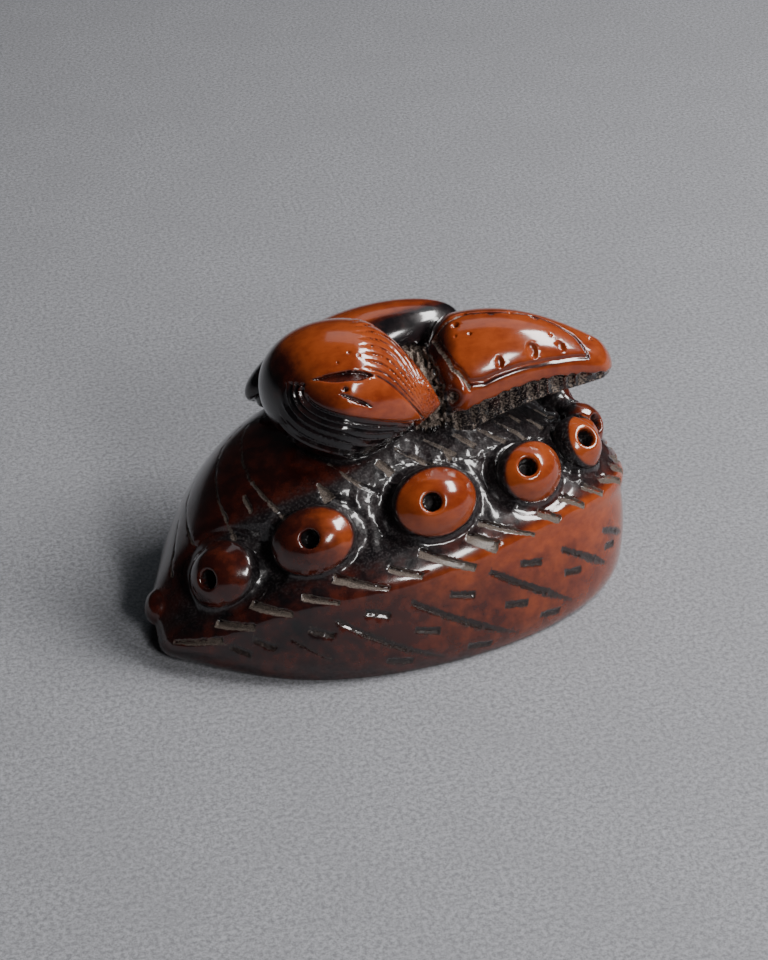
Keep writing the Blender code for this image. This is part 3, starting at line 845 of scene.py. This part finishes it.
def hole_shift(points):
    """Moves of the points round each pore's hole, straight down into it, with a rounded rim."""
    moves = np.zeros_like(points)
    for pore in PORES:
        matrix = hole_matrix(pore)
        x, y, z = in_frame(matrix, points)
        distance = np.hypot(x, y)
        rim = 0.2 * np.clip((HOLE_RADIUS + 0.42 - distance) / 0.42, 0, 1) ** 2
        down = HOLE_DEPTH * fade(HOLE_RADIUS + 0.05 - distance, 0, 0.2) + rim
        moves -= np.array(matrix.col[2][:3]) * (down * (np.abs(z) < 1.5))[:, None]
    return moves


def mound_place(points, pore):
    """Coordinates of points on a pore's mound, as a share of its outline, and millimetres outside it."""
    x, y, z = in_frame(pore_matrix(pore), points)
    share = np.sqrt((x / (pore.length / 2)) ** 2 + (y / (pore.width / 2)) ** 2)
    return x, y, z, share, (share - 1) * (pore.length + pore.width) / 4


def pore_foot(points):
    """Depth of the moat round each pore's mound, below 0 where the mound's foot is filled in."""
    depth = np.zeros(len(points))
    for pore in PORES[1:]:
        _, _, z, _, outside = mound_place(points, pore)
        near_foot = np.abs(z) < 2
        fillet = 0.22 * np.exp(-((outside / 0.3) ** 2))
        moat = 0.2 * np.exp(-(((outside - 0.85) / 0.45) ** 2))
        depth += (moat - fillet) * near_foot
    return depth


def scoops(points):
    """Depth of the hollow cut beside each pore, deepest close to the next one."""
    depth = np.zeros(len(points))
    for pore, following in zip(PORES[1:], PORES[2:]):
        apart = np.linalg.norm(track_point(following.angle) - track_point(pore.angle))
        gap = apart - (pore.length + following.length) / 2
        x, y, z, _, outside = mound_place(points, pore)
        outside_next = mound_place(points, following)[-1]
        middle = fade(-np.abs(y) / pore.width, -0.6, -0.2) * (np.abs(z) < 2)
        beside = fade(x / pore.length, 0.1, 0.45) * middle
        along = fade(outside, 0, 0.75 * gap) * fade(outside_next, 0.02, 0.45)
        depth = np.maximum(depth, 0.19 * gap * along * beside * fade(-outside, -1.3 * gap, -0.9 * gap))
    return depth


def hollow_roughness(points):
    """Scraped hollows between the pores, the rough right of the crown, and the fibres of the bed."""
    rough = np.zeros(len(points))
    _, angle = body_coordinates(points)
    across = track_share(angle, points[:, 2])
    track = fade(across, -0.9, -0.4) * fade(-across, -0.9, -0.4) * track_ends(angle)
    crown = fade(across, 0.9, 1.4) * fade(points[:, 0], 0, 4)
    on_body = np.abs(body_field(points)) < 0.6
    chosen = np.flatnonzero(np.maximum(track, crown) * on_body > 0.02)
    scrapes = smooth_noise(points[chosen], 0.9, (0.8, 1.6, 1.6)) + 0.3 * smooth_noise(points[chosen], 0.35)
    rough[chosen] = (0.075 * track[chosen] + 0.07 * crown[chosen]) * scrapes
    chosen = np.flatnonzero(np.abs(bed_field(points)) < 0.5)
    local = BED.local(points[chosen]).T
    rough[chosen] = 0.45 * smooth_noise(local, 0.3, (1, 4, 2)) + 0.1
    return rough


def mesh_object(name, bm):
    mesh = bpy.data.meshes.new(name)
    bm.to_mesh(mesh)
    bm.free()
    thing = bpy.data.objects.new(name, mesh)
    bpy.context.collection.objects.link(thing)
    return thing


def bake_modifiers(thing):
    """Replace the object's mesh with what its modifiers make of it."""
    depsgraph = bpy.context.evaluated_depsgraph_get()
    baked = bpy.data.meshes.new_from_object(thing.evaluated_get(depsgraph))
    thing.modifiers.clear()
    thing.data = baked


def blocked_out_shape():
    """All forms in one skin."""
    bm = bmesh.new()
    add_form(bm, body_field, BODY_CENTRE + (TOP_TO_RIGHT, TOP_TO_BACK, BODY_HEIGHT / 3), 40, 8)
    add_pores(bm)
    add_coil(bm)
    add_form(bm, clam_field, CLAM.centre, 20, 7)
    add_form(bm, rear_field, REAR.centre, 20, 7)
    add_form(bm, bed_field, BED.centre, 10, 6)
    middle = WEDGE.centre + WEDGE.turn @ np.array([WEDGE_LENGTH / 3, 0, WEDGE_ARCH])
    add_form(bm, wedge_field, middle, 30, 7)
    thing = mesh_object("carving", bm)
    remesh = thing.modifiers.new("One skin", "REMESH")
    remesh.mode = "VOXEL"
    remesh.voxel_size = VOXEL
    smooth = thing.modifiers.new("Polish", "SMOOTH")
    smooth.factor = 0.5
    smooth.iterations = 3
    bake_modifiers(thing)
    return thing


def normals(mesh):
    flat = np.empty(len(mesh.vertices) * 3, np.float32)
    mesh.vertex_normals.foreach_get("vector", flat)
    return flat.reshape(-1, 3).astype(float)


def carve(thing, cuts):
    """Move the skin inward by the depth of the relief."""
    points = coordinates(thing.data)
    strokes, _, _ = body_relief(points, cuts)
    depth = strokes + clam_relief(points) + wedge_relief(points) + rear_relief(points)
    depth += hollow_roughness(points) + pore_foot(points) + scoops(points)
    place_vertices(thing.data, points - normals(thing.data) * depth[:, None] + hole_shift(points))


def thin_out(thing):
    thing.data.calc_loop_triangles()
    decimate = thing.modifiers.new("Fewer faces", "DECIMATE")
    decimate.ratio = TRIANGLES / len(thing.data.loop_triangles)
    decimate.use_collapse_triangulate = True
    bake_modifiers(thing)


def cut_foot(thing):
    """Cut the underside flat."""
    bm = bmesh.new()
    bm.from_mesh(thing.data)
    everything = bm.verts[:] + bm.edges[:] + bm.faces[:]
    bmesh.ops.bisect_plane(
        bm, geom=everything, dist=1e-4, plane_co=(0, 0, FOOT_CUT), plane_no=(0, 0, 1), clear_inner=True
    )
    bmesh.ops.holes_fill(bm, edges=[edge for edge in bm.edges if edge.is_boundary])
    bmesh.ops.triangulate(bm, faces=[face for face in bm.faces if len(face.verts) > 3])
    bm.to_mesh(thing.data)
    bm.free()


def cord_tunnel(middle):
    """A half ring: both its ends come out of the underside."""
    bm = bmesh.new()
    circle = bmesh.ops.create_circle(
        bm,
        cap_ends=False,
        segments=32,
        radius=CORD_HOLE_DIAMETER / 2,
        matrix=Matrix.Translation((CORD_HOLE_SPACING / 2, 0, 0)),
    )
    bmesh.ops.spin(
        bm,
        geom=circle["verts"] + list({edge for vertex in circle["verts"] for edge in vertex.link_edges}),
        cent=(0, 0, 0),
        axis=(0, -1, 0),
        angle=math.tau,
        steps=64,
        use_merge=True,
    )
    bmesh.ops.remove_doubles(bm, verts=bm.verts, dist=1e-4)
    bmesh.ops.recalc_face_normals(bm, faces=bm.faces)
    bmesh.ops.translate(bm, verts=bm.verts, vec=middle)
    return mesh_object("cord tunnel", bm)


def drill_cord_tunnel(thing, middle):
    tool = cord_tunnel(middle)
    boolean = thing.modifiers.new("Cord tunnel", "BOOLEAN")
    boolean.operation = "DIFFERENCE"
    boolean.solver = "EXACT"
    boolean.object = tool
    bake_modifiers(thing)
    bpy.data.objects.remove(tool, do_unlink=True)


def write_attribute(mesh, name, values):
    attribute = mesh.attributes.new(name, "FLOAT", "POINT")
    attribute.data.foreach_set("value", np.ascontiguousarray(values, np.float32))


def whose_skin(points):
    """How far each point belongs to each form, and 1 where two forms meet."""
    distances = {
        "body": np.abs(body_field(points)),
        "clam": np.abs(clam_field(points)),
        "wedge": np.abs(wedge_field(points)),
        "rear": np.abs(rear_field(points)),
        "bed": np.abs(bed_field(points)),
    }
    order = np.sort(np.stack(list(distances.values())), axis=0)
    own = {name: fade(order[0] + 0.25 - distance, 0, 0.25) for name, distance in distances.items()}
    return own, fade(-(order[1] - order[0]), -0.9, -0.1)


def pore_marks(points):
    """1 on the mounds of the pores, and 1 inside their holes."""
    pores = np.zeros(len(points))
    holes = np.zeros(len(points))
    for pore in PORES:
        _, _, z, share, _ = mound_place(points, pore)
        share = np.where(z > -0.2, share, 9)
        pores = np.maximum(pores, fade(-share, -1.07, -0.93))
        x, y, z = in_frame(hole_matrix(pore), points)
        inside = fade(-z, 0.45, 0.8) * (np.hypot(x, y) < HOLE_RADIUS + 0.1) * (z > -3)
        holes = np.maximum(holes, inside)
    return pores, holes


def body_wear(points, angle, across, pores):
    """Wear of the body: the band below the ridge and the mounds are rubbed, more so to the right, and the
    band darkens lower down. The darkening towards the left is partly painted shade for the side turned away
    from the light.
    """
    x, y, z = points.T
    # Lighter towards the right and higher up: partly wear, partly painted shade darkening the left, which
    # faces away from the light.
    to_right = fade(x + 0.6 * z, -8, 22)
    below_edge = fade(-across, 1.1, 2.0)
    band = fade(-across, 0.75, 1.15) * (0.12 + to_right * (0.95 - 0.38 * below_edge))
    crown = 0.1 + 0.12 * fade(-x, 0, 8)
    body = np.where(across < -0.6, np.maximum(band, 0.1), crown)
    # The pores grow lighter to the right: partly rubbing, partly painted shade on the pores at the left.
    rubbed = 0.16 + 0.16 * fade(x, -20, -16) + 0.68 * fade(x, -10, -1)
    rubbed = rubbed * np.where(angle > -12, 0.3 + 0.4 * fade(x - y, 18, 24), 1)
    return np.maximum(body, pores * rubbed)


def clam_wear(points):
    """Wear of the clam: its upper half is rubbed, the grooves and the lower half stay dark."""
    share, bow, _, below, turn, _ = clam_lines(points)
    wear = 1 - 0.95 * fade(-below, -0.2, 0.3) * fade(bow, 0, 0.1)
    wear = wear * fade(share + 0.012 * (turn - 5), -1.05, 0.0)
    return wear * (1 - 0.85 * fade(clam_relief(points), 0.04, 0.18))


def wedge_marks(points):
    """Wear of the wedge shell, dust in its panel, dust and painted light on its wall, and the dark of the
    fine lines.
    """
    x, y, z, share = wedge_place(points)
    wear = fade(z, -0.3, 0.0) * (0.3 + 0.7 * fade(share, 0.02, 0.17))
    broad, fine = panel_lines(share, y)
    panel_dust = fade(0.3 - broad, 0, 0.15) * (z > 0.15)
    knob_dust = 0.75 * fade(0.8 - knob_distance(x, y, z), 0, 0.2)
    rib_edge = np.abs(np.cos(rib_turn(x)))
    # Pale on the wall below the rim, paler along the ribs: partly dust, partly painted light brightening the
    # wall in the rim's shade.
    wall_dust_and_painted_light = (0.52 + 0.25 * fade(rib_edge, 0.75, 0.97)) * fade(-z, 0.3, 0.7)
    dust = np.maximum(np.maximum(panel_dust, knob_dust), wall_dust_and_painted_light)
    return wear, dust, np.exp(-((fine / 0.13) ** 2)) * (z > 0.15)


def rear_wear_and_shade(points):
    # Light along the top rim, dark below it and at the left end: the rim is rubbed wear; the dark below it
    # is partly stain, partly painted shade in the groove under the shell.
    x, y, _ = REAR.local(points)
    return fade(y, 0.7, 1.9) * fade(x / REAR_HALF_LENGTH, -0.75, -0.4)


def finish_marks(thing, cuts):
    """What the polish and the stain did to each point, for the material, with painted shade in the wear and
    painted light and sheen in the dust.
    """
    points = coordinates(thing.data)
    _, angle = body_coordinates(points)
    across = track_share(angle, points[:, 2])
    own, meeting = whose_skin(points)
    pores, holes = pore_marks(points)
    body = body_wear(points, angle, across, pores)
    wedge, wedge_dust_and_painted_light, wedge_dark = wedge_marks(points)

    wear = body * own["body"] + clam_wear(points) * own["clam"]
    wear = wear + wedge * own["wedge"] + rear_wear_and_shade(points) * own["rear"]
    wear = wear / np.maximum(sum(own.values()), 1e-3)
    wear = np.where(pores > 0.01, body, wear * (1 - 0.9 * meeting)) * (1 - holes)
    wear = wear * (1 - 0.9 * wedge_dark * own["wedge"])

    # Right of the crown greyed with dust colour: partly dust in its scratches, partly painted sheen for its
    # shiny scratched surface.
    crown_dust_and_sheen = fade(across, 0.7, 1.2) * fade(points[:, 0], -2, 3) * own["body"]
    dust = np.maximum.reduce([own["bed"], wedge_dust_and_painted_light * own["wedge"], 0.66 * crown_dust_and_sheen])
    track = fade(across, -1.0, -0.5) * fade(-across, -1.1, -0.6) * track_ends(angle)
    hollow = np.maximum(0.8 * track, 0.9 * fade(across, 0.6, 1.2) * fade(points[:, 0], -4, 2))
    hollow = np.maximum(np.maximum(hollow * own["body"], meeting) * (1 - pores), holes)

    _, edge, stroke_dust = body_relief(points, cuts)
    write_attribute(thing.data, "wear", np.clip(wear, 0, 1))
    write_attribute(thing.data, "stroke", np.clip(edge, -1, 1))
    write_attribute(thing.data, "stroke_dust", stroke_dust)
    write_attribute(thing.data, "dust", np.clip(dust, 0, 1))
    write_attribute(thing.data, "hollow", np.clip(hollow, 0, 1))


# Materials


class Number:
    """A number that varies over the surface. Arithmetic on it adds Math nodes."""

    def __init__(self, finish, socket):
        self.finish = finish
        self.socket = socket

    def maths(self, operation, *values):
        return self.finish.node("Math", {"operation": operation}, *values)

    def __add__(self, other):
        return self.maths("ADD", self, other)

    __radd__ = __add__

    def __mul__(self, other):
        return self.maths("MULTIPLY", self, other)

    __rmul__ = __mul__

    def __sub__(self, other):
        return self.maths("SUBTRACT", self, other)

    def __rsub__(self, other):
        return self.maths("SUBTRACT", other, self)


class Finish:
    """A material under construction."""

    def __init__(self, name):
        self.material = bpy.data.materials.new(name)
        self.material.use_nodes = True
        self.nodes = self.material.node_tree.nodes
        self.links = self.material.node_tree.links
        self.shader = self.nodes["Principled BSDF"]
        self.place = self.node("TexCoord", {}, output="Object")

    def node(self, kind, settings, *values, output=0, by_number=(), **named):
        """Add a node, settings first, then its sockets' values or links."""
        node = self.nodes.new("ShaderNode" + kind)
        for name, setting in settings.items():
            setattr(node, name, setting)
        for key, value in [*enumerate(values), *by_number, *named.items()]:
            self.feed(node, key, value)
        return Number(self, node.outputs[output])

    def feed(self, node, key, value):
        if isinstance(key, str) and key not in node.inputs:
            key = key.replace("_", " ")
        if isinstance(value, Number):
            self.links.new(value.socket, node.inputs[key])
        else:
            node.inputs[key].default_value = value

    def set(self, **named):
        for key, value in named.items():
            self.feed(self.shader, key, value)

    def attribute(self, name):
        return self.node("Attribute", {"attribute_name": name}, output="Fac")

    def noise(self, scale, detail=3.0, roughness=0.55, stretch=(1, 1, 1)):
        """Even noise around 0.5; scale in lumps per metre."""
        place = self.node("Mapping", {}, Vector=self.place, Scale=stretch)
        return self.node(
            "TexNoise", {}, Vector=place, Scale=scale, Detail=detail, Roughness=roughness, output="Fac"
        )

    def step(self, value, start, end):
        settings = {"interpolation_type": "SMOOTHSTEP"}
        return self.node("MapRange", settings, Value=value, From_Min=start, From_Max=end)

    def mix(self, share, first, second):
        """Colour from first to second."""
        return self.node("Mix", {"data_type": "RGBA"}, share, output=2, by_number=((6, first), (7, second)))


def boxwood():
    """Stained, hand-polished wood: orange where it was rubbed, near black in hollows, dust in the cuts. The
    wear also carries painted shade, darker to the left of the body and under the rear shell's rim; the pale
    on the wedge's wall is partly painted light, and the grey on the crown and in the hollows is partly
    painted sheen.
    """
    finish = Finish("boxwood")
    wear = finish.attribute("wear")
    hollow = finish.attribute("hollow")
    stroke = finish.attribute("stroke")
    stroke_dust = finish.attribute("stroke_dust")
    dust = finish.attribute("dust")

    clouds = finish.noise(220, 4)
    patches = finish.noise(700, 5, 0.6)
    grain = finish.noise(2200, 4, 0.6, (0.35, 1, 1))
    specks = finish.noise(5000, 3)
    fine = finish.noise(14000, 2)

    worn = wear + (clouds - 0.5) * 0.35 + (patches - 0.5) * 0.35
    tone = clouds * 0.6 + patches * 0.2 + grain * 0.2
    warm = finish.mix(finish.step(tone, 0.36, 0.62), (0.15, 0.0215, 0.006, 1), (0.28, 0.053, 0.012, 1))
    deep = finish.mix(finish.step(patches, 0.4, 0.65), (0.030, 0.0055, 0.004, 1), (0.065, 0.011, 0.006, 1))
    stain = finish.mix(finish.step(patches, 0.35, 0.7), (0.005, 0.004, 0.005, 1), (0.014, 0.009, 0.010, 1))
    colour = finish.mix(finish.step(worn, 0.0, 0.25), stain, deep)
    colour = finish.mix(finish.step(worn, 0.25, 0.95), colour, warm)
    colour = finish.mix(finish.step(hollow * 1.2 + (patches - 0.5) * 0.6, 0.35, 0.9), colour, stain)
    flecks = finish.step(specks, 0.66, 0.72) * 0.35
    colour = finish.mix(flecks, colour, (0.05, 0.012, 0.006, 1))

    ragged = stroke + (specks - 0.5) * 0.2
    in_stroke = finish.step(ragged, -0.06, 0.03)
    dark_cut = finish.mix(finish.step(specks, 0.5, 0.7), (0.014, 0.008, 0.007, 1), (0.04, 0.026, 0.021, 1))
    dusty_cut = finish.mix(finish.step(fine, 0.35, 0.65), (0.035, 0.026, 0.022, 1), (0.15, 0.12, 0.10, 1))
    cut_colour = finish.mix(finish.step(stroke_dust + (specks - 0.5) * 1.1, 0.3, 0.8), dark_cut, dusty_cut)
    colour = finish.mix(in_stroke, colour, cut_colour)

    # Pale fibres and dust where the dust attribute is high; on the crown's right this is partly painted
    # sheen, on the wedge's wall partly painted light.
    dust_fluff_and_sheen = finish.step(dust + (specks - 0.5) * 1.4, 0.5, 0.9)
    fibres = finish.mix(finish.step(specks, 0.35, 0.65), (0.06, 0.042, 0.033, 1), (0.30, 0.24, 0.20, 1))
    colour = finish.mix(dust_fluff_and_sheen, colour, fibres)
    # Grey flecks over the hollows: partly dust, partly painted sheen for the scratched hollows' grey shine.
    dust_and_sheen_film = finish.step(specks, 0.45, 0.7) * hollow * 0.4
    colour = finish.mix(dust_and_sheen_film, colour, (0.12, 0.11, 0.11, 1))

    rough = 0.24 - 0.05 * wear + hollow * 0.17 + (patches - 0.5) * 0.16
    rough = rough + (in_stroke * stroke_dust) * 0.4 + dust_fluff_and_sheen * 0.45
    polish = finish.step(1 - hollow * 0.55 - dust_fluff_and_sheen - in_stroke * stroke_dust * 0.8, 0.0, 0.9)

    height = (patches - 0.5) * 0.4 + (grain - 0.5) * 0.1 + (specks - 0.5) * (0.05 + hollow * 0.2)
    height = height + (fine - 0.5) * (0.02 + in_stroke * 0.8 + dust_fluff_and_sheen + hollow * 0.1)
    bump = finish.node("Bump", {}, Strength=0.5, Distance=0.00012, Height=height, output="Normal")

    finish.set(Base_Color=colour, Roughness=rough, Normal=bump, Coat_Weight=polish)
    finish.set(Metallic=0.0, IOR=1.3, Coat_Roughness=0.11, Coat_IOR=1.5)
    return finish.material


def paper():
    """Matt grey card with a fine grain."""
    finish = Finish("grey card")
    grain = finish.noise(2600, 5, 0.85)
    clouds = finish.noise(90, 3)
    colour = finish.mix(finish.step(grain, 0.35, 0.65), (0.14, 0.143, 0.156, 1), (0.335, 0.34, 0.365, 1))
    colour = finish.mix(finish.step(clouds, 0.35, 0.65) * 0.2, colour, (0.19, 0.192, 0.206, 1))
    bump = finish.node("Bump", {}, Strength=0.2, Distance=0.0001, Height=grain, output="Normal")
    finish.set(Base_Color=colour, Roughness=0.85, Normal=bump)
    return finish.material


# The piece


def netsuke():
    cuts = body_cuts()
    thing = blocked_out_shape()
    carve(thing, cuts)
    thin_out(thing)
    cut_foot(thing)
    points = coordinates(thing.data)
    low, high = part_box("netsuke")
    middle = (points.min(0) + points.max(0)) / 2
    shift = np.array([
        (low.x + high.x) / 2 / MM - middle[0],
        (low.y + high.y) / 2 / MM - middle[1],
        -FOOT_CUT,
    ])
    drill_cord_tunnel(thing, (-shift[0], -shift[1], FOOT_CUT))
    finish_marks(thing, cuts)
    thing.data.transform(Matrix.Scale(MM, 4) @ Matrix.Translation(shift))
    thing.data.shade_smooth()
    thing.data.materials.clear()
    thing.data.materials.append(boxwood())
    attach(thing, "root")
    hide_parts("netsuke")
    return thing


# Stage


CARD_HALF_SIDE = 1.2


def floor():
    bm = bmesh.new()
    bmesh.ops.create_grid(bm, x_segments=1, y_segments=1, size=CARD_HALF_SIDE)
    card = mesh_object("card", bm)
    card.data.materials.append(paper())


def direction(azimuth, elevation):
    """Unit vector from the object towards a place round it; azimuth 0 is the front."""
    a, e = math.radians(azimuth), math.radians(elevation)
    return Vector((math.sin(a) * math.cos(e), -math.cos(a) * math.cos(e), math.sin(e)))


def soft_light(name, azimuth, elevation, distance, size, power, colour, turn=0):
    """Area light in metres and watts that faces the object."""
    data = bpy.data.lights.new(name, "AREA")
    data.shape = "RECTANGLE"
    data.size, data.size_y = size
    data.energy = power
    data.color = colour
    light = bpy.data.objects.new(name, data)
    towards = direction(azimuth, elevation)
    light.location = towards * distance
    light.rotation_euler = (
        towards.to_track_quat("Z", "Y").to_matrix() @ Matrix.Rotation(math.radians(turn), 3, "Z")
    ).to_euler()
    bpy.context.collection.objects.link(light)


WINDOW_COLOUR = (1.0, 0.985, 0.97)
WALL_COLOUR = (0.88, 0.95, 1.0)


def lights():
    soft_light("window", 80, 50, 0.36, (0.2, 0.085), 1.9, WINDOW_COLOUR, turn=30)
    soft_light("side window", 19, 34, 0.45, (0.16, 0.06), 1.1, WINDOW_COLOUR, turn=45)
    soft_light("back wall", 150, 55, 1.1, (0.9, 0.5), 1.1, WALL_COLOUR)
    world = bpy.data.worlds.new("room")
    world.use_nodes = True
    background = world.node_tree.nodes["Background"].inputs
    background["Color"].default_value = (0.9, 0.95, 1.0, 1)
    background["Strength"].default_value = 0.02
    bpy.context.scene.world = world


VIEW_AZIMUTH = -15
VIEW_ELEVATION = 34
VIEW_DISTANCE = 210.0
MM_PER_PIXEL = 0.092
IMAGE = (768, 960)
# Where the middle of the object's foot falls in the picture
FOOT_PIXEL = (373, 576)
# That place, in millimetres from the frame's origin
FOOT_OFFSET = Vector((-0.692, 0.973, -0.1))


def camera():
    back = direction(VIEW_AZIMUTH, VIEW_ELEVATION)
    right = Vector((math.cos(math.radians(VIEW_AZIMUTH)), math.sin(math.radians(VIEW_AZIMUTH)), 0))
    up = back.cross(right)
    data = bpy.data.cameras.new("camera")
    data.sensor_width = 36
    data.lens = VIEW_DISTANCE / MM_PER_PIXEL * 36 / IMAGE[1]
    data.clip_start = 0.01
    thing = bpy.data.objects.new("camera", data)
    to_left = (FOOT_PIXEL[0] - IMAGE[0] / 2) * MM_PER_PIXEL
    to_top = (IMAGE[1] / 2 - FOOT_PIXEL[1]) * MM_PER_PIXEL
    place = back * VIEW_DISTANCE - right * to_left - up * to_top + FOOT_OFFSET
    thing.location = place * MM
    thing.rotation_euler = Matrix((right, up, back)).transposed().to_euler()
    bpy.context.collection.objects.link(thing)
    bpy.context.scene.camera = thing


netsuke()
floor()
lights()
camera()
